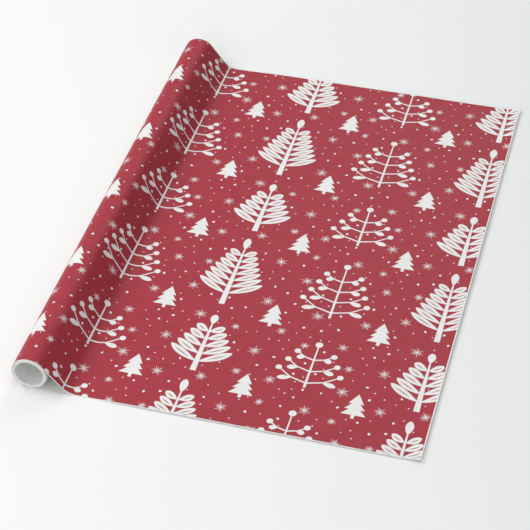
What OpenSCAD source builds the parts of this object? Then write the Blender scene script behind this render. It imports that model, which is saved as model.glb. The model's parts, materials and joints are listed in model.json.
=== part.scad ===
// Gift wrapping paper wound on a paperboard core, with a length of the sheet drawn out flat.
// The roll's axis is the Y axis. The sheet leaves over the top of the roll, comes down in an
// S-curve and lies on the table towards +X, printed side up.

/* [Sheet] */
// Width of the sheet, which is the length of the roll
sheet_w = 737; // [300:1:1200]
// Length of sheet lying flat, from where it lands to the free edge
laid_l = 439; // [250:1:900]
// Thickness of one layer of paper as it lies, with the air under it
paper_t = 0.2; // [0.15:0.05:0.4]

/* [Roll] */
// Bore of the core
core_bore_d = 38.1; // [25:0.1:90]
// Thickness of each of the core's three plies
ply_t = 0.65; // [0.4:0.05:1.5]
// Thickness of all the turns wound tight on the core
wound_t = 1.45; // [0.8:0.05:20]
// Clear space between the wound turns and the loose outer turn
turn_gap = 0.35; // [0.2:0.05:1]
// Slope at which the sheet comes down from the roll, in degrees below level
leave_slope = 50; // [40:1:65]
// Radius of the curve in which the sheet meets the table
landing_r = 26; // [15:1:60]
// Turns that the roll gives each way as the sheet is drawn off or taken up
draw_turns = 0.5; // [0.1:0.1:0.5]

/* [Start tape] */
// Width of the tape that holds the sheet's inner end to the core
tape_w = 12; // [6:1:19]
// Thickness of the tape
tape_t = 0.15; // [0.1:0.05:0.3]
// Distance from each end of the roll to the tape
tape_inset = 40; // [5:1:100]
// Clear space around the tape
tape_clear = 0.05; // [0.05:0.05:0.2]

/* [Hidden] */

paper_red = "#a6434c";
paper_white = "#f2f0ec";
core_grey = "#c9c5bd";
tape_tan = "#d9c9a0";

arc_step = 3; // degrees between the points of a paper curve
part_gap = 0.3; // clear space between two stretches of the sheet that don't join
feed_spare = 18; // flat sheet left ahead of the laid sheet when it is all the way in
eps = 1; // how far a cutter runs past the face it opens

core_bore_r = core_bore_d / 2;
core_r = core_bore_r + 3 * ply_t;
wound_r = core_r + wound_t;
roll_r = wound_r + turn_gap + paper_t;
table_z = -roll_r;

// The sheet's middle line: round the roll, straight down the slope, then the landing curve.
mid_r = roll_r - paper_t / 2;
leave_a = 90 - leave_slope;
landing_a = 270 - leave_slope;
landing_z = table_z + paper_t / 2 + landing_r;
slope_l = (mid_r * sin(leave_a) - landing_z - landing_r * sin(landing_a)) / sin(leave_slope);
landing_x = mid_r * cos(leave_a) + slope_l * cos(leave_slope) - landing_r * cos(landing_a);
draw_travel = draw_turns * 2 * PI * mid_r;
feed_l = draw_travel + feed_spare;
// Degrees between the outer turn's two ends, so that its inner end lies clear under the slope.
turn_end_gap = acos((roll_r - paper_t) / (roll_r + part_gap));

function arc(cx, cz, r, from, to) =
    let (n = ceil(abs(to - from) / arc_step))
    [for (i = [0:n]) let (a = from + (to - from) * i / n) [cx + r * cos(a), cz + r * sin(a)]];

// Extrudes an outline drawn in X and Z along the roll, centred on its middle.
module along_roll(length) {
    translate([0, length / 2, 0])
        rotate([90, 0, 0])
            linear_extrude(length)
                children();
}

// A layer of sheet bent round the roll's axis.
module bent_layer(inner_r, outer_r, from, to, length) {
    along_roll(length)
        polygon(concat(arc(0, 0, outer_r, from, to), arc(0, 0, inner_r, to, from)));
}

module tube(inner_r, outer_r, length) {
    rotate([90, 0, 0])
        difference() {
            cylinder(h = length, r = outer_r, center = true, $fn = 120);
            cylinder(h = length + 2 * eps, r = inner_r, center = true, $fn = 120);
        }
}

// One of the core's plies, counted from the bore.
module core_ply(index) {
    tube(core_bore_r + index * ply_t, core_bore_r + (index + 1) * ply_t, sheet_w);
}

module core_inner_ply() {
    color(core_grey) core_ply(0);
}

module core_middle_ply() {
    color(core_grey) core_ply(1);
}

module core_outer_ply() {
    color(core_grey) core_ply(2);
}

// The tape's outline, or with clear above 0 the pocket that it lies in.
module tape_strip(clear) {
    half_a = (tape_w / 2 + clear) / core_r * 180 / PI;
    bent_layer(core_r, core_r + tape_t + clear, 90 - half_a, 90 + half_a,
        sheet_w - 2 * (tape_inset - clear));
}

module start_tape() {
    color(tape_tan) tape_strip(0);
}

module wound_turns() {
    color(paper_white)
        difference() {
            tube(core_r, wound_r, sheet_w);
            tape_strip(tape_clear);
        }
}

module outer_turn() {
    color(paper_red)
        bent_layer(roll_r - paper_t, roll_r, leave_a, leave_a + 360 - turn_end_gap, sheet_w);
}

module rise() {
    upper = concat(
        [[roll_r * cos(leave_a), roll_r * sin(leave_a)]],
        arc(landing_x, landing_z, landing_r - paper_t / 2, landing_a, 270)
    );
    lower = concat(
        arc(landing_x, landing_z, landing_r + paper_t / 2, 270, landing_a),
        [[(roll_r - paper_t) * cos(leave_a), (roll_r - paper_t) * sin(leave_a)]]
    );
    color(paper_red)
        along_roll(sheet_w)
            polygon(concat(upper, lower));
}

// A flat stretch of the sheet on the table.
module flat_sheet(from_x, to_x) {
    translate([from_x, -sheet_w / 2, table_z])
        cube([to_x - from_x, sheet_w, paper_t]);
}

module feed_run() {
    color(paper_red) flat_sheet(landing_x + part_gap, landing_x + feed_l - part_gap);
}

module laid_sheet() {
    color(paper_red) flat_sheet(landing_x + feed_l, landing_x + laid_l);
}

core_inner_ply();
core_middle_ply();
core_outer_ply();
start_tape();
wound_turns();
outer_turn();
rise();
feed_run();
laid_sheet();
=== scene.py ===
"""Looks for the wrapping paper roll: the printed sheet, wound turns, core and a plain studio."""

import json
import math
import random

import bpy
import numpy as np
from mathutils import Matrix, Vector
from mathutils.geometry import delaunay_2d_cdt


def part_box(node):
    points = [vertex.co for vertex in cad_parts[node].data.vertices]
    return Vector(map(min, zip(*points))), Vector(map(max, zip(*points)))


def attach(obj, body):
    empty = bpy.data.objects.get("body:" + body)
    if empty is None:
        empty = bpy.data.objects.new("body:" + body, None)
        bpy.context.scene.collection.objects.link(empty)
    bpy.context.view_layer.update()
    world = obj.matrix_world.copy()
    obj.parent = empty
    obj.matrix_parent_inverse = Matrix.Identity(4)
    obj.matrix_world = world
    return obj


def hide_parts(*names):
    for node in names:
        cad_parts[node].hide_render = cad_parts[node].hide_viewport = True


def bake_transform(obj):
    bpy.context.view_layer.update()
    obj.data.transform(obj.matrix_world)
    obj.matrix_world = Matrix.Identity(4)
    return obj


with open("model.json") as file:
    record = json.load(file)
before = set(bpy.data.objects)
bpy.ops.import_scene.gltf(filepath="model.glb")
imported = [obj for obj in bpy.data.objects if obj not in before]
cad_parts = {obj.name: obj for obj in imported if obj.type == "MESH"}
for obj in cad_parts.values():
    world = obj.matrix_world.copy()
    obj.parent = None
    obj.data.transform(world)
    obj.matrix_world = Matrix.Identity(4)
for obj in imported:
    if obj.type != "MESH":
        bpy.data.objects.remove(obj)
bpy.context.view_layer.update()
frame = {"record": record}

MM = 0.001

# ---------------------------------------------------------------- sizes taken from the frame

BORE = next(mount for mount in frame["record"]["mounts"] if mount["name"] == "core_bore")
BORE_R = BORE["dims"]["r_mm"] * MM
PLY_NODES = ("core_inner_ply", "core_middle_ply", "core_outer_ply")
CORE_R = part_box("core_outer_ply")[1].z
WOUND_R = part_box("wound_turns")[1].z
TABLE_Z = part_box("laid_sheet")[0].z
ROLL_R = -TABLE_Z
HALF_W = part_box("laid_sheet")[1].y
CAD_PAPER_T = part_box("laid_sheet")[1].z - TABLE_Z
MID_R = ROLL_R - CAD_PAPER_T / 2
END_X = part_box("laid_sheet")[1].x - 0.0030  # the printed sheet stops just inside the CAD sheet

# ---------------------------------------------------------------- the sheet's shape

SHEET_T = 0.00022  # thickness of the sheet as drawn
SHEET_L = 1.829  # length that the whole sheet was cut to
WOUND_SHEET_T = 0.00012  # thickness of the wound turns, with air left between them
LANDING_R = 0.026  # radius of the curve in which the sheet meets the table
SLOPE_NEAR = math.radians(49.5)  # how steeply it comes down from the roll at the near end
SLOPE_FAR = math.radians(53.0)  # and at the far end
INNER_END = math.radians(338)  # how far the outer turn goes round the roll
MARGIN = 0.0015  # bare strip along the cut edges
ARC_STEP = math.radians(5)  # between the grid lines round the roll
END_RISE = 0.0030  # how far the free edge stands off the table
SIDE_RISE = 0.0016  # and the two long edges
FLAT_STEP = 0.020  # distance between the flat sheet's grid lines
SLOPE_STEP = 0.004  # on the straight slope
BEND_STEP = 0.0022  # where it meets the table
EDGE_STEP = 0.004  # and near its raised edges


def smoothstep(x):
    """A soft step from 0 to 1."""
    x = np.clip(x, 0, 1)
    return x * x * (3 - 2 * x)


def slope_at(v):
    """The slope at which the sheet comes down, at distance v from the middle of the roll."""
    return SLOPE_NEAR + (SLOPE_FAR - SLOPE_NEAR) * smoothstep((v + HALF_W) / (2 * HALF_W))


def slope_run(slope):
    """(x where the sheet lands, length of the straight slope) for that slope."""
    landing_z = TABLE_Z + SHEET_T / 2 + LANDING_R
    straight = (MID_R * np.cos(slope) - landing_z + LANDING_R * np.cos(slope)) / np.sin(slope)
    landing_x = (MID_R + LANDING_R) * np.sin(slope) + straight * np.cos(slope)
    return landing_x, straight


LANDING_X = float(slope_run(SLOPE_NEAR)[0])
CURVE_L = float(LANDING_R * SLOPE_NEAR + slope_run(SLOPE_NEAR)[1])
INNER_U = LANDING_X - CURVE_L - MID_R * INNER_END


def flat_lift(u, v):
    """How far the flat sheet stands off the table: long low waves, and edges that rise a little."""
    away = smoothstep((u - LANDING_X - 0.005) / 0.08)
    waves = (
        np.sin(u * 31 + v * 9 + 0.6)
        + 0.8 * np.sin(u * 14 - v * 23 + 2.1)
        + 0.6 * np.sin(u * 47 + v * 17 + 4.0)
    )
    low = 0.00010 * (waves + 2.4) * away
    end = smoothstep((u - END_X + 0.035) / 0.07) ** 2 * 4
    side = smoothstep((np.abs(v) - HALF_W + 0.025) / 0.05) ** 2 * 4
    rise = END_RISE * end * (1 + 0.15 * np.sin(v * 11 + 1.0)) + SIDE_RISE * side * away
    return 0.00003 + low + rise


def middle(u, v):
    """The middle of the sheet's thickness at u along it and v across it. On the flat, u is x."""
    slope = slope_at(v)
    landing_x, straight = slope_run(slope)
    landing_z = TABLE_Z + SHEET_T / 2 + LANDING_R
    back = landing_x - u
    arc_l = LANDING_R * slope
    arc_a = 1.5 * math.pi - np.clip(back, 0, arc_l) / LANDING_R
    x = landing_x + LANDING_R * np.cos(arc_a)
    z = landing_z + LANDING_R * np.sin(arc_a)
    up = np.clip(back - arc_l, 0, straight)
    x = x - up * np.cos(slope)
    z = z + up * np.sin(slope)
    on_roll = back > arc_l + straight
    turned = math.pi / 2 - slope + (back - arc_l - straight) / MID_R
    x = np.where(on_roll, MID_R * np.cos(turned), x)
    z = np.where(on_roll, MID_R * np.sin(turned), z)
    x = np.where(back < 0, u, x)
    z = z + flat_lift(u, v) * smoothstep(1 - np.maximum(back, 0) / (arc_l + straight))
    return np.stack([x, v, z], axis=-1)


def facing(u, v):
    """The direction that the printed side faces."""
    d = 1e-4
    along = middle(u + d, v) - middle(u - d, v)
    across = middle(u, v + d) - middle(u, v - d)
    n = np.cross(along, across)
    return n / np.linalg.norm(n, axis=-1, keepdims=True)


# ---------------------------------------------------------------- the print

TILE = 0.288  # the print repeats at this distance along the sheet
TILE_ACROSS = 0.2851  # and at this one across it
PRINT_X = 0.1170  # where a tile starts, from the roll's axis
PRINT_Y = 0.0700 - HALF_W  # and from the middle of the roll
PRINT_LEAN = 0.0075  # the print sits a little askew on the paper
SEED = 11  # for the snowflakes and dots


def leaf(at, angle, length, width, bend=0.0, steps=9):
    """A rounded leaf from its stalk end, as an outline."""
    a = math.radians(angle)
    ahead, side = Vector((math.cos(a), math.sin(a))), Vector((-math.sin(a), math.cos(a)))
    left, right = [], []
    for i in range(1, steps):
        t = 1 - (1 - i / steps) ** 1.35
        half = width / 2 * math.sin(math.pi * t**1.35) ** 0.62
        mid = Vector(at) + ahead * (t * length) + side * (bend * length * t * t)
        left.append(mid + side * half)
        right.append(mid - side * half)
    tip = Vector(at) + ahead * length + side * (bend * length)
    return [Vector(at)] + right + [tip] + left[::-1]


def vein(at, angle, length, bend=0.0, start=0.16, end=0.76, width=0.0012):
    """The thin slit of ink along a leaf's middle."""
    a = math.radians(angle)
    ahead, side = Vector((math.cos(a), math.sin(a))), Vector((-math.sin(a), math.cos(a)))
    left, right = [], []
    steps = 5
    for i in range(steps + 1):
        t = start + (end - start) * i / steps
        half = width / 2 * (0.3 + math.sin(math.pi * i / steps))
        mid = Vector(at) + ahead * (t * length) + side * (bend * length * t * t)
        left.append(mid + side * half)
        right.append(mid - side * half)
    return right + left[::-1]


def stroke(points, widths):
    """A line of bare paper with a width at each point."""
    points = [Vector(p) for p in points]
    left, right = [], []
    for i, p in enumerate(points):
        ahead = (points[min(i + 1, len(points) - 1)] - points[max(i - 1, 0)]).normalized()
        side = Vector((-ahead.y, ahead.x)) * widths[i] / 2
        left.append(p + side)
        right.append(p - side)
    return right + left[::-1]


def mirrored(outlines):
    """The outlines turned over, left for right."""
    return [[Vector((-p.x, p.y)) for p in o][::-1] for o in outlines]


def both_sides(outlines):
    """The outlines and their mirror images."""
    return outlines + mirrored(outlines)


def leafy_tree(height, pairs, reach):
    """A plain tree: a straight trunk, even pairs of leaves that shorten upwards, a leaf on top."""
    shapes = [stroke([(0, 0), (0, height * 0.5), (0, height * 0.9)], [0.0080, 0.0048, 0.0016])]
    veins = []
    lowest, highest = height * 0.16, height * 0.84
    step = (highest - lowest) / pairs
    for i in range(pairs):
        y = lowest + step * i
        length = reach * (1 - 0.68 * i / pairs)
        shapes += both_sides([leaf((0.0008, y), 26, length, step * 0.82, 0.10)])
        veins += both_sides([vein((0.0012, y), 26, length, 0.10, 0.28, 0.80, 0.0011)])
    shapes.append(leaf((0, highest), 90, height * 0.18, 0.0105))
    return shapes, veins


def berry_branch(height, pairs, reach):
    """A plain stem with even pairs of rising twigs, each with a small leaf and a berry."""
    shapes = [stroke([(0, 0), (0, height)], [0.0034, 0.0016])]
    shapes += moved([spot(0.0050, 1.0, 0)], 0, height)
    for i in range(pairs):
        y = height * (0.10 + 0.80 * i / pairs)
        out = reach * (1 - 0.60 * i / pairs)
        twig = [(0, y), (out * 0.55, y + out * 0.16), (out, y + out * 0.50)]
        side = [stroke(twig, [0.0024, 0.0020, 0.0016])]
        side += moved([spot(0.0042, 1.0, 0)], out, y + out * 0.50)
        side.append(leaf((out * 0.50, y + out * 0.14), -12, out * 0.46, 0.0080))
        shapes += both_sides(side)
    return shapes, []


def fir():
    """A small fir: three plain tiers on a short trunk. Each tier is (foot, half its width, top)."""
    shapes = [stroke([(0, 0), (0, 0.010)], [0.0044, 0.0044])]
    tiers = ((0.006, 0.0160, 0.024), (0.016, 0.0130, 0.033), (0.026, 0.0098, 0.043))
    for low, half, top in tiers:
        shapes.append([Vector((-half, low)), Vector((half, low)), Vector((0, top))])
    return shapes, []


def snowflake(radius, turn, rng):
    """Fine rays of two lengths round a hub."""
    shapes = [spot(0.0013, 1.0, turn)]
    rays = 12
    for k in range(rays):
        a = turn + 2 * math.pi * (k + rng.uniform(-0.15, 0.15)) / rays
        reach = radius * (1.0 if k % 2 == 0 else 0.74) * rng.uniform(0.84, 1.08)
        out = Vector((math.cos(a), math.sin(a)))
        points = [out * 0.0014, out * reach * 0.65, out * reach]
        shapes.append(stroke(points, [0.0007, 0.00065, 0.0002]))
    return shapes


def spot_sides(radius):
    """How many sides a dot of that radius is drawn with."""
    if radius < 0.0015:
        return 6
    if radius < 0.003:
        return 8
    return 14


def spot(radius, stretch, turn):
    """A dot, out of round by the stretch."""
    points = []
    sides = spot_sides(radius)
    for k in range(sides):
        a = 2 * math.pi * k / sides
        p = Vector((radius * stretch * math.cos(a), radius / stretch * math.sin(a)))
        points.append(Matrix.Rotation(turn, 2) @ p)
    return points


def moved(outlines, x, y):
    """The outlines shifted by x and y."""
    return [[Vector((p.x + x, p.y + y)) for p in o] for o in outlines]


def tile_motifs():
    """The trees, branches and firs of one tile in four even columns, as (shapes, veins)."""
    # Their order, heights and places across the tile still follow the photographed print.
    shapes, veins = [], []
    placed = [
        (leafy_tree(0.105, 5, 0.047), 0.25, 0.04),
        (leafy_tree(0.135, 7, 0.050), 0.25, 0.49),
        (berry_branch(0.080, 3, 0.040), 0.75, 0.06),
        (berry_branch(0.105, 4, 0.043), 0.75, 0.52),
    ]
    placed += [(fir(), x, y) for x in (0.0, 0.5) for y in (0.40, 0.92)]
    for (found, slits), x, y in placed:
        shapes += moved(found, x * TILE, y * TILE)
        veins += moved(slits, x * TILE, y * TILE)
    return shapes, veins


def inside(p, outline):
    """True if p lies in the outline."""
    found = False
    for a, b in zip(outline, outline[1:] + outline[:1]):
        if (a.y > p.y) != (b.y > p.y) and p.x < (b.x - a.x) * (p.y - a.y) / (b.y - a.y) + a.x:
            found = not found
    return found


# Radius, how many are wanted on a tile, the clear paper round each, and the gap tried for first.
# The first two rows are snowflakes and the others dots.
SCATTERED = (
    (0.0096, 16, 0.0010, 0.040),
    (0.0074, 8, 0.0010, 0.030),
    (0.0019, 44, 0.0014, 0.016),
    (0.0011, 90, 0.0012, 0.010),
)
FLAKE_LEAST_R = 0.005
OUTLINE_STEP = 0.0012  # the motifs' outlines are kept clear of at points this far apart
MOST_TRIES = 4000


def closely_spaced(outline, step):
    """Points along the outline no further apart than step."""
    points = []
    for a, b in zip(outline, outline[1:] + outline[:1]):
        count = max(1, math.ceil((b - a).length / step))
        points += [a.lerp(b, i / count)[:] for i in range(count)]
    return points


def scatter(shapes):
    """Snowflakes and dots in the gaps between one tile's motifs, clear of each other."""
    rng = random.Random(SEED)
    shifts = [(i * TILE, j * TILE) for i in (-1, 0, 1) for j in (-1, 0, 1)]
    around = [o for dx, dy in shifts for o in moved(shapes, dx, dy)]
    edge = np.array([p for o in shapes for p in closely_spaced(o, OUTLINE_STEP)])
    taken = []
    flakes, dots = [], []

    def apart(x, y, p):
        """The distance from p to x and y, across the tile's edges where that is shorter."""
        dx, dy = np.abs(x - p.x) % TILE, np.abs(y - p.y) % TILE
        return np.hypot(np.minimum(dx, TILE - dx), np.minimum(dy, TILE - dy))

    def free(p, radius, clear, gap):
        if apart(edge[:, 0], edge[:, 1], p).min() < radius + clear:
            return False
        if any(apart(q.x, q.y, p) < radius + r + gap for q, r in taken):
            return False
        return not any(inside(p, o) for o in around)

    for size, count, clear, first_gap in SCATTERED:
        made, tries = 0, 0
        while made < count and tries < MOST_TRIES:
            tries += 1
            gap = max(clear, first_gap * (1 - tries / MOST_TRIES))
            p = Vector((rng.uniform(0, TILE), rng.uniform(0, TILE)))
            radius = size * rng.uniform(0.82, 1.08)
            if not free(p, radius, clear, gap):
                continue
            taken.append((p, radius))
            made += 1
            if size > FLAKE_LEAST_R:
                flakes += moved(snowflake(radius, rng.uniform(0, 1), rng), p.x, p.y)
            else:
                ring = spot(radius, rng.uniform(1.0, 1.2), rng.uniform(0, math.pi))
                dots += moved([ring], p.x, p.y)
    return flakes + dots


def printed_shapes(low_u, high_u):
    """Every outline of the print that reaches the sheet, as (bare paper, ink inside it)."""
    shapes, veins = tile_motifs()
    shapes += scatter(shapes)
    found = ([], [])
    first_i = math.floor((low_u - PRINT_X) / TILE) - 1
    last_i = math.ceil((high_u - PRINT_X) / TILE) + 1
    first_j = math.floor((-HALF_W - PRINT_Y) / TILE_ACROSS) - 1
    last_j = math.ceil((HALF_W - PRINT_Y) / TILE_ACROSS) + 1
    for i in range(first_i, last_i):
        for j in range(first_j, last_j):
            for kind, outlines in zip(found, (shapes, veins)):
                y = PRINT_Y + j * TILE_ACROSS
                for o in moved(outlines, PRINT_X + i * TILE + PRINT_LEAN * y, y):
                    xs, ys = [p.x for p in o], [p.y for p in o]
                    if max(xs) > low_u and min(xs) < high_u:
                        if max(ys) > -HALF_W and min(ys) < HALF_W:
                            kind.append(o)
    return found


# ---------------------------------------------------------------- cutting the sheet along the print


def grid_lines(low, high, step):
    """Even values from low to high, about a step apart."""
    count = max(1, round((high - low) / step))
    return [low + (high - low) * i / count for i in range(count + 1)]


def in_outline(points, outline):
    """Which of the points lie in the outline, as an array of true and false."""
    found = np.zeros(len(points), bool)
    x, y = points[:, 0], points[:, 1]
    for a, b in zip(outline, outline[1:] + outline[:1]):
        if a.y == b.y:
            continue
        crosses = (a.y > y) != (b.y > y)
        found ^= crosses & (x < (b.x - a.x) * (y - a.y) / (b.y - a.y) + a.x)
    return found


def covered(points, outlines):
    """Which of the points lie in any of the outlines."""
    found = np.zeros(len(points), bool)
    order = np.argsort(points[:, 0])
    xs = points[order, 0]
    for outline in outlines:
        first = np.searchsorted(xs, min(p.x for p in outline))
        last = np.searchsorted(xs, max(p.x for p in outline))
        near = order[first:last]
        ys = points[near, 1]
        near = near[(ys > min(p.y for p in outline)) & (ys < max(p.y for p in outline))]
        found[near] |= in_outline(points[near], outline)
    return found


MERGE_D = 1e-7  # points closer together than this become one


def cut_sheet(low_u, high_u, lines_u, lines_v):
    """The unrolled sheet cut along the print and the grid lines: points, triangles, which are bare."""
    bare, ink = printed_shapes(low_u, high_u)
    points, edges = [], []

    def add(outline, closed):
        start, count = len(points), len(outline)
        points.extend(outline)
        edges.extend((start + i, start + i + 1) for i in range(count - 1))
        if closed:
            edges.append((start + count - 1, start))

    for outline in bare + ink:
        add(outline, True)
    for u in lines_u:
        add([Vector((u, -HALF_W)), Vector((u, HALF_W))], False)
    for v in lines_v:
        add([Vector((low_u, v)), Vector((high_u, v))], False)
    cut = delaunay_2d_cdt(points, edges, [], 0, MERGE_D, False)
    flat = np.array([p[:] for p in cut[0]])
    triangles = np.array(cut[2])
    centres = flat[triangles].mean(axis=1)
    kept = (centres[:, 0] > low_u) & (centres[:, 0] < high_u) & (np.abs(centres[:, 1]) < HALF_W)
    triangles, centres = triangles[kept], centres[kept]
    used, renumbered = np.unique(triangles, return_inverse=True)
    is_bare = covered(centres, bare) & ~covered(centres, ink)
    is_bare |= (centres[:, 0] > high_u - MARGIN) | (np.abs(centres[:, 1]) > HALF_W - MARGIN)
    return flat[used], renumbered.reshape(-1, 3), is_bare


def rim_loops(triangles):
    """The directed edges round the outside of the triangles."""
    seen = {}
    for a, b, c in triangles:
        for e in ((a, b), (b, c), (c, a)):
            seen[e] = True
    return [e for e in seen if (e[1], e[0]) not in seen]


def closed_sheet(name, places, triangles, is_bare, shape, thickness, materials, normal):
    """A thin closed mesh: the printed side, the reverse and the cut edge round it."""
    u, v = places[:, 0], places[:, 1]
    mid, n = shape(u, v), normal(u, v)
    count = len(places)
    verts = np.concatenate([mid + n * thickness / 2, mid - n * thickness / 2])
    top = triangles
    under = triangles[:, ::-1] + count
    rim = np.array([(b, a, a + count, b + count) for a, b in rim_loops(triangles)])
    faces = top.tolist() + under.tolist() + rim.tolist()
    mesh = bpy.data.meshes.new(name)
    mesh.from_pydata(verts.tolist(), [], faces)
    for m in materials:
        mesh.materials.append(m)
    slots = np.concatenate([is_bare.astype(int), np.full(len(under), 2), np.full(len(rim), 2)])
    mesh.polygons.foreach_set("material_index", slots.astype(np.int32))
    mesh.polygons.foreach_set("use_smooth", np.ones(len(faces), bool))
    obj = bpy.data.objects.new(name, mesh)
    bpy.context.collection.objects.link(obj)
    lay_out(mesh, places, count)
    mesh.update()
    starts = np.zeros(len(mesh.loops), np.int32)
    mesh.loops.foreach_get("vertex_index", starts)
    normals = np.concatenate([n, -n])[starts]
    for p in mesh.polygons[2 * len(triangles):]:
        normals[p.loop_start:p.loop_start + p.loop_total] = p.normal[:]
    mesh.normals_split_custom_set([tuple(x) for x in normals])
    return obj


def lay_out(mesh, places, count):
    """A map with the printed side flat across most of it and the reverse in a band beside it."""
    low, high = places.min(0), places.max(0)
    flat = (places - low) / (high - low)
    layer = mesh.uv_layers.new(name="OFBake")
    index = np.zeros(len(mesh.loops), np.int32)
    mesh.loops.foreach_get("vertex_index", index)
    on_top = index < count
    uv = flat[index % count]
    wide = np.stack([uv[:, 0] * 0.87 + 0.005, uv[:, 1] * 0.99 + 0.005], axis=1)
    band = np.stack([uv[:, 0] * 0.11 + 0.885, uv[:, 1] * 0.99 + 0.005], axis=1)
    laid = np.where(on_top[:, None], wide, band)
    layer.data.foreach_set("uv", laid.astype(np.float32).ravel())


# ---------------------------------------------------------------- materials


def new_material(name):
    """A node material, its tree and its shader."""
    material = bpy.data.materials.new(name)
    material.use_nodes = True
    return material, material.node_tree, material.node_tree.nodes["Principled BSDF"]


def noise(tree, scale, detail):
    """A noise texture in object coordinates. Returns the texture's factor output."""
    coords = tree.nodes.new("ShaderNodeTexCoord")
    texture = tree.nodes.new("ShaderNodeTexNoise")
    texture.inputs["Scale"].default_value = scale
    texture.inputs["Detail"].default_value = detail
    tree.links.new(coords.outputs["Object"], texture.inputs["Vector"])
    return texture.outputs["Fac"]


def spread(tree, value, low, high, to_low, to_high):
    """The value with its range low to high made to_low to to_high."""
    ranged = tree.nodes.new("ShaderNodeMapRange")
    ranged.inputs["From Min"].default_value = low
    ranged.inputs["From Max"].default_value = high
    ranged.inputs["To Min"].default_value = to_low
    ranged.inputs["To Max"].default_value = to_high
    tree.links.new(value, ranged.inputs["Value"])
    return ranged.outputs["Result"]


def two_tones(tree, value, dark, light):
    """A colour between dark and light by the value."""
    ramp = tree.nodes.new("ShaderNodeValToRGB")
    ramp.color_ramp.elements[0].position = 0.3
    ramp.color_ramp.elements[0].color = (*dark, 1)
    ramp.color_ramp.elements[1].position = 0.7
    ramp.color_ramp.elements[1].color = (*light, 1)
    tree.links.new(value, ramp.inputs["Fac"])
    return ramp.outputs["Color"]


def bump(tree, value, strength, depth):
    """A surface normal that follows the value."""
    node = tree.nodes.new("ShaderNodeBump")
    node.inputs["Strength"].default_value = strength
    node.inputs["Distance"].default_value = depth
    tree.links.new(value, node.inputs["Height"])
    return node.outputs["Normal"]


FIBRE_SCALE = 900
MOTTLE_SCALE = 60
TOOTH_DEPTH = 0.00004


def paper(name, dark, light, rough, gloss, fibre=0.25):
    """Paper or ink on paper: mottled at the scale of its fibres, with a fine tooth."""
    material, tree, shader = new_material(name)
    fine = noise(tree, FIBRE_SCALE, 4.0)
    broad = noise(tree, MOTTLE_SCALE, 3.0)
    tree.links.new(two_tones(tree, broad, dark, light), shader.inputs["Base Color"])
    roughness = spread(tree, fine, 0.3, 0.7, rough - 0.05, rough + 0.05)
    tree.links.new(roughness, shader.inputs["Roughness"])
    tree.links.new(bump(tree, fine, fibre, TOOTH_DEPTH), shader.inputs["Normal"])
    shader.inputs["Specular IOR Level"].default_value = gloss
    return material


# The darker tone, the lighter one, roughness, specular level and the strength of the fibre bump.
MATERIALS = {
    "ink": paper("red_ink", (0.336, 0.038, 0.053), (0.360, 0.042, 0.059), 0.46, 0.12),
    "bare": paper("unprinted_paper", (0.715, 0.715, 0.705), (0.755, 0.755, 0.745), 0.50, 0.40),
    "reverse": paper("paper_reverse", (0.76, 0.755, 0.74), (0.82, 0.815, 0.80), 0.65, 0.25, 0.4),
    "board": paper("core_board", (0.74, 0.74, 0.73), (0.82, 0.82, 0.81), 0.80, 0.2, 0.8),
    "board_cut": paper("core_board_cut", (0.60, 0.60, 0.59), (0.72, 0.72, 0.71), 0.85, 0.2, 0.9),
    "tape": paper("paper_tape", (0.62, 0.52, 0.34), (0.68, 0.58, 0.40), 0.40, 0.4, 0.3),
}

# ---------------------------------------------------------------- pieces


def sheet_lines():
    """The grid lines along the sheet: close together where it bends."""
    roll_end = LANDING_X - CURVE_L
    landing_start = LANDING_X - LANDING_R * SLOPE_NEAR
    lines = grid_lines(INNER_U, roll_end, MID_R * ARC_STEP)[:-1]
    landing_end = LANDING_X + 0.004
    rise_start = END_X - 0.032
    lines += grid_lines(roll_end, landing_start, SLOPE_STEP)[:-1]
    lines += grid_lines(landing_start, landing_end, BEND_STEP)[:-1]
    lines += grid_lines(landing_end, rise_start, FLAT_STEP)[:-1]
    lines += grid_lines(rise_start, END_X - MARGIN, EDGE_STEP)
    return lines + [END_X]


def width_lines():
    """The grid lines across the sheet: close together where its long edges rise."""
    inner = HALF_W - 0.024
    lines = [-HALF_W] + grid_lines(MARGIN - HALF_W, -inner, EDGE_STEP)[:-1]
    lines += grid_lines(-inner, inner, FLAT_STEP)[:-1]
    return lines + grid_lines(inner, HALF_W - MARGIN, EDGE_STEP) + [HALF_W]


def make_printed_sheet():
    """The sheet from the outer turn to the free edge."""
    places, triangles, is_bare = cut_sheet(INNER_U, END_X, sheet_lines(), width_lines())
    slots = [MATERIALS["ink"], MATERIALS["bare"], MATERIALS["reverse"]]
    piece = closed_sheet(
        "printed_sheet",
        places,
        triangles,
        is_bare,
        middle,
        SHEET_T,
        slots,
        facing,
    )
    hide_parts("outer_turn", "rise", "feed_run", "laid_sheet")
    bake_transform(piece)


def tube_of_rings(name, rings, steps, materials, slots):
    """A closed turned shape about the roll's axis. rings are (radius, y) round its section."""
    verts, faces = [], []
    for k in range(steps):
        a = 2 * math.pi * k / steps
        verts += [(r * math.cos(a), y, r * math.sin(a)) for r, y in rings]
    count = len(rings)
    for k in range(steps):
        here, there = k * count, (k + 1) % steps * count
        for i in range(count):
            j = (i + 1) % count
            faces.append((here + i, here + j, there + j, there + i))
    mesh = bpy.data.meshes.new(name)
    mesh.from_pydata(verts, [], faces)
    for m in materials:
        mesh.materials.append(m)
    mesh.polygons.foreach_set("material_index", np.tile(np.array(slots, np.int32), steps))
    mesh.polygons.foreach_set("use_smooth", np.ones(len(faces), bool))
    mesh.set_sharp_from_angle(angle=math.radians(30))
    obj = bpy.data.objects.new(name, mesh)
    bpy.context.collection.objects.link(obj)
    return obj


CORE_STEPS = 120


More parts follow.
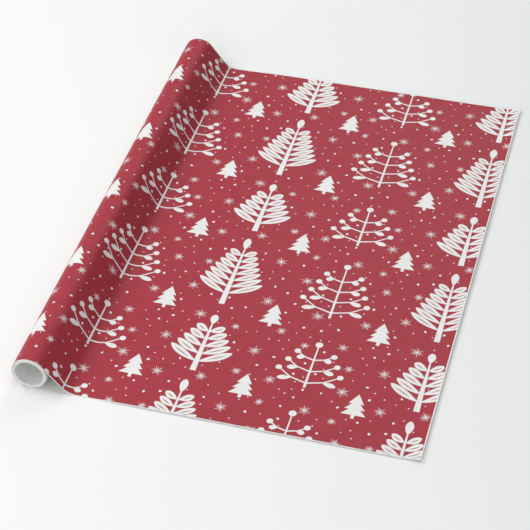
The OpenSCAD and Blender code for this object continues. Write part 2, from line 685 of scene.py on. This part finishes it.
def make_core():
    """Three plies of board with eased edges, the middle one cut a hair shorter."""
    ply_t = (CORE_R - BORE_R) / len(PLY_NODES)
    ease = 0.00010
    cut_short = 0.00012
    board, cut = MATERIALS["board"], MATERIALS["board_cut"]
    slots = [1, 1, 1, 0, 1, 1, 1, 0]
    for i, node in enumerate(PLY_NODES):
        inner = BORE_R + i * ply_t
        outer = inner + ply_t
        end = HALF_W - cut_short * (i % 2)
        rings = [
            (inner, -end + ease),
            (inner + ease, -end),
            (outer - ease, -end),
            (outer, -end + ease),
            (outer, end - ease),
            (outer - ease, end),
            (inner + ease, end),
            (inner, end - ease),
        ]
        piece = tube_of_rings(node + "_tube", rings, CORE_STEPS, [board, cut], slots)
        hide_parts(node)
        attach(piece, "roll")


# The rest of the sheet is wound from the core outwards.
WOUND_L = SHEET_L - (END_X - INNER_U)
WOUND_MEAN_R = (CORE_R + WOUND_R) / 2
WOUND_TURNS = WOUND_L / (2 * math.pi * WOUND_MEAN_R)
WOUND_GAP = 0.00001
WOUND_PITCH = (WOUND_R - CORE_R - WOUND_SHEET_T - 2 * WOUND_GAP) / WOUND_TURNS
WOUND_START = math.radians(100)
WOUND_END_L = 0.02  # how far in from the ends the drift reaches


def spiral(u, v):
    """The wound sheet's middle: u is the angle it has turned through, v runs along the roll.

    Its ends stand a little in from the core's and wander from turn to turn.
    """
    r = CORE_R + WOUND_GAP + WOUND_SHEET_T / 2 + WOUND_PITCH * u / (2 * math.pi)
    drift = 0.00008 * np.sin(u * 0.61 + 1.0) + 0.00004 * np.sin(u * 1.7)
    at_end = np.abs(v) > HALF_W - WOUND_END_L
    y = v + np.where(at_end, drift - 0.00015 * np.sign(v), 0)
    a = WOUND_START - u
    return np.stack([r * np.cos(a), y, r * np.sin(a)], axis=-1)


def spiral_facing(u, v):
    """The direction that the wound sheet's printed side faces."""
    a = WOUND_START - u
    return np.stack([np.cos(a), np.zeros_like(u), np.sin(a)], axis=-1)


def make_wound_turns():
    """The rest of the sheet, wound on the core with the print outwards."""
    lines_u = grid_lines(0, 2 * math.pi * WOUND_TURNS, ARC_STEP)
    inner = HALF_W - MARGIN
    steady = HALF_W - WOUND_END_L
    lines_v = [-HALF_W, -inner, -steady, 0, steady, inner, HALF_W]
    rows, cols = len(lines_u), len(lines_v)
    places = np.array([(u, v) for u in lines_u for v in lines_v])
    triangles = []
    for i in range(rows - 1):
        for j in range(cols - 1):
            a, b = i * cols + j, (i + 1) * cols + j
            triangles += [(a, b, b + 1), (a, b + 1, a + 1)]
    triangles = np.array(triangles)
    is_bare = np.abs(places[triangles].mean(axis=1)[:, 1]) > inner
    slots = [MATERIALS["ink"], MATERIALS["bare"], MATERIALS["reverse"]]
    piece = closed_sheet(
        "wound_sheet",
        places,
        triangles,
        is_bare,
        spiral,
        WOUND_SHEET_T,
        slots,
        spiral_facing,
    )
    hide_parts("wound_turns")
    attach(piece, "roll")


def give_tape_its_material():
    """The start tape keeps its CAD shape and gets the look of paper tape."""
    tape = bpy.data.objects["start_tape"]
    tape.data.materials.clear()
    tape.data.materials.append(MATERIALS["tape"])


make_core()
make_wound_turns()
make_printed_sheet()
give_tape_its_material()

# ---------------------------------------------------------------- studio

FLOOR_HALF = 6.0


def make_floor():
    """A plain pale floor at the table's height."""
    half = FLOOR_HALF
    corners = [(-half, -half), (half, -half), (half, half), (-half, half)]
    mesh = bpy.data.meshes.new("floor")
    mesh.from_pydata([(x, y, TABLE_Z) for x, y in corners], [], [(0, 1, 2, 3)])
    floor = bpy.data.objects.new("floor", mesh)
    bpy.context.collection.objects.link(floor)
    material, tree, shader = new_material("floor")
    shader.inputs["Base Color"].default_value = (0.80, 0.815, 0.81, 1)
    shader.inputs["Roughness"].default_value = 0.9
    mesh.materials.append(material)


# Soft round lights on a dome: name, azimuth, elevation, power. The strongest are at the left, the
# near side, the near left and overhead.
LIGHT_AIM = Vector((0.22, 0, 0))
LIGHT_DISTANCE = 2.6
LIGHT_SIZE = 1.4
SOFT_LIGHTS = (
    ("far_low", 90, 22, 7.0),
    ("far_left_low", 135, 22, 2.4),
    ("near_left_low", 225, 22, 16.0),
    ("near_low", 270, 22, 23.0),
    ("near_right_low", 315, 22, 5.5),
    ("far", 90, 45, 12.5),
    ("far_left", 135, 45, 4.7),
    ("left", 180, 45, 31.5),
    ("near_right", 315, 45, 3.2),
    ("right_high", 0, 68, 4.4),
    ("overhead", 0, 90, 16.0),
)


def soft_light(name, azimuth, elevation, power):
    """A round soft light on the dome round the roll, turned to face it."""
    across, up = math.radians(azimuth), math.radians(elevation)
    out = Vector((math.cos(up) * math.cos(across), math.cos(up) * math.sin(across), math.sin(up)))
    lamp = bpy.data.lights.new(name, "AREA")
    lamp.shape = "DISK"
    lamp.size = LIGHT_SIZE
    lamp.energy = power
    light = bpy.data.objects.new(name, lamp)
    light.location = LIGHT_AIM + out * LIGHT_DISTANCE
    light.rotation_euler = (-out).to_track_quat("-Z", "Y").to_euler()
    bpy.context.collection.objects.link(light)


def light_the_studio():
    """The soft lights and a faint, even glow, shown without any tone curve."""
    for name, azimuth, elevation, power in SOFT_LIGHTS:
        soft_light(name, azimuth, elevation, power)
    world = bpy.data.worlds.new("world")
    world.use_nodes = True
    glow = world.node_tree.nodes["Background"]
    glow.inputs["Color"].default_value = (1, 1, 1, 1)
    glow.inputs["Strength"].default_value = 0.02
    bpy.context.scene.world = world
    bpy.context.scene.view_settings.view_transform = "Standard"


# The camera looks down on the sheet from the near right.
AZIMUTH = math.radians(15.6)
ELEVATION = math.radians(40.75)
ROLL = math.radians(-0.48)
DISTANCE = 2.454
AIM = Vector((0.2218, -0.0670, TABLE_Z))
SENSOR_W = 36
LENS = 123.7


def make_camera():
    """The camera at the photograph's viewing angle."""
    data = bpy.data.cameras.new("camera")
    data.sensor_width = SENSOR_W
    data.lens = LENS
    camera = bpy.data.objects.new("camera", data)
    level = math.cos(ELEVATION)
    back = Vector((math.sin(AZIMUTH) * level, -math.cos(AZIMUTH) * level, math.sin(ELEVATION)))
    camera.location = AIM + back * DISTANCE
    turn = Matrix.Rotation(ROLL, 3, "Z").to_quaternion()
    camera.rotation_mode = "QUATERNION"
    camera.rotation_quaternion = (-back).to_track_quat("-Z", "Y") @ turn
    bpy.context.collection.objects.link(camera)
    bpy.context.scene.camera = camera


make_floor()
light_the_studio()
make_camera()
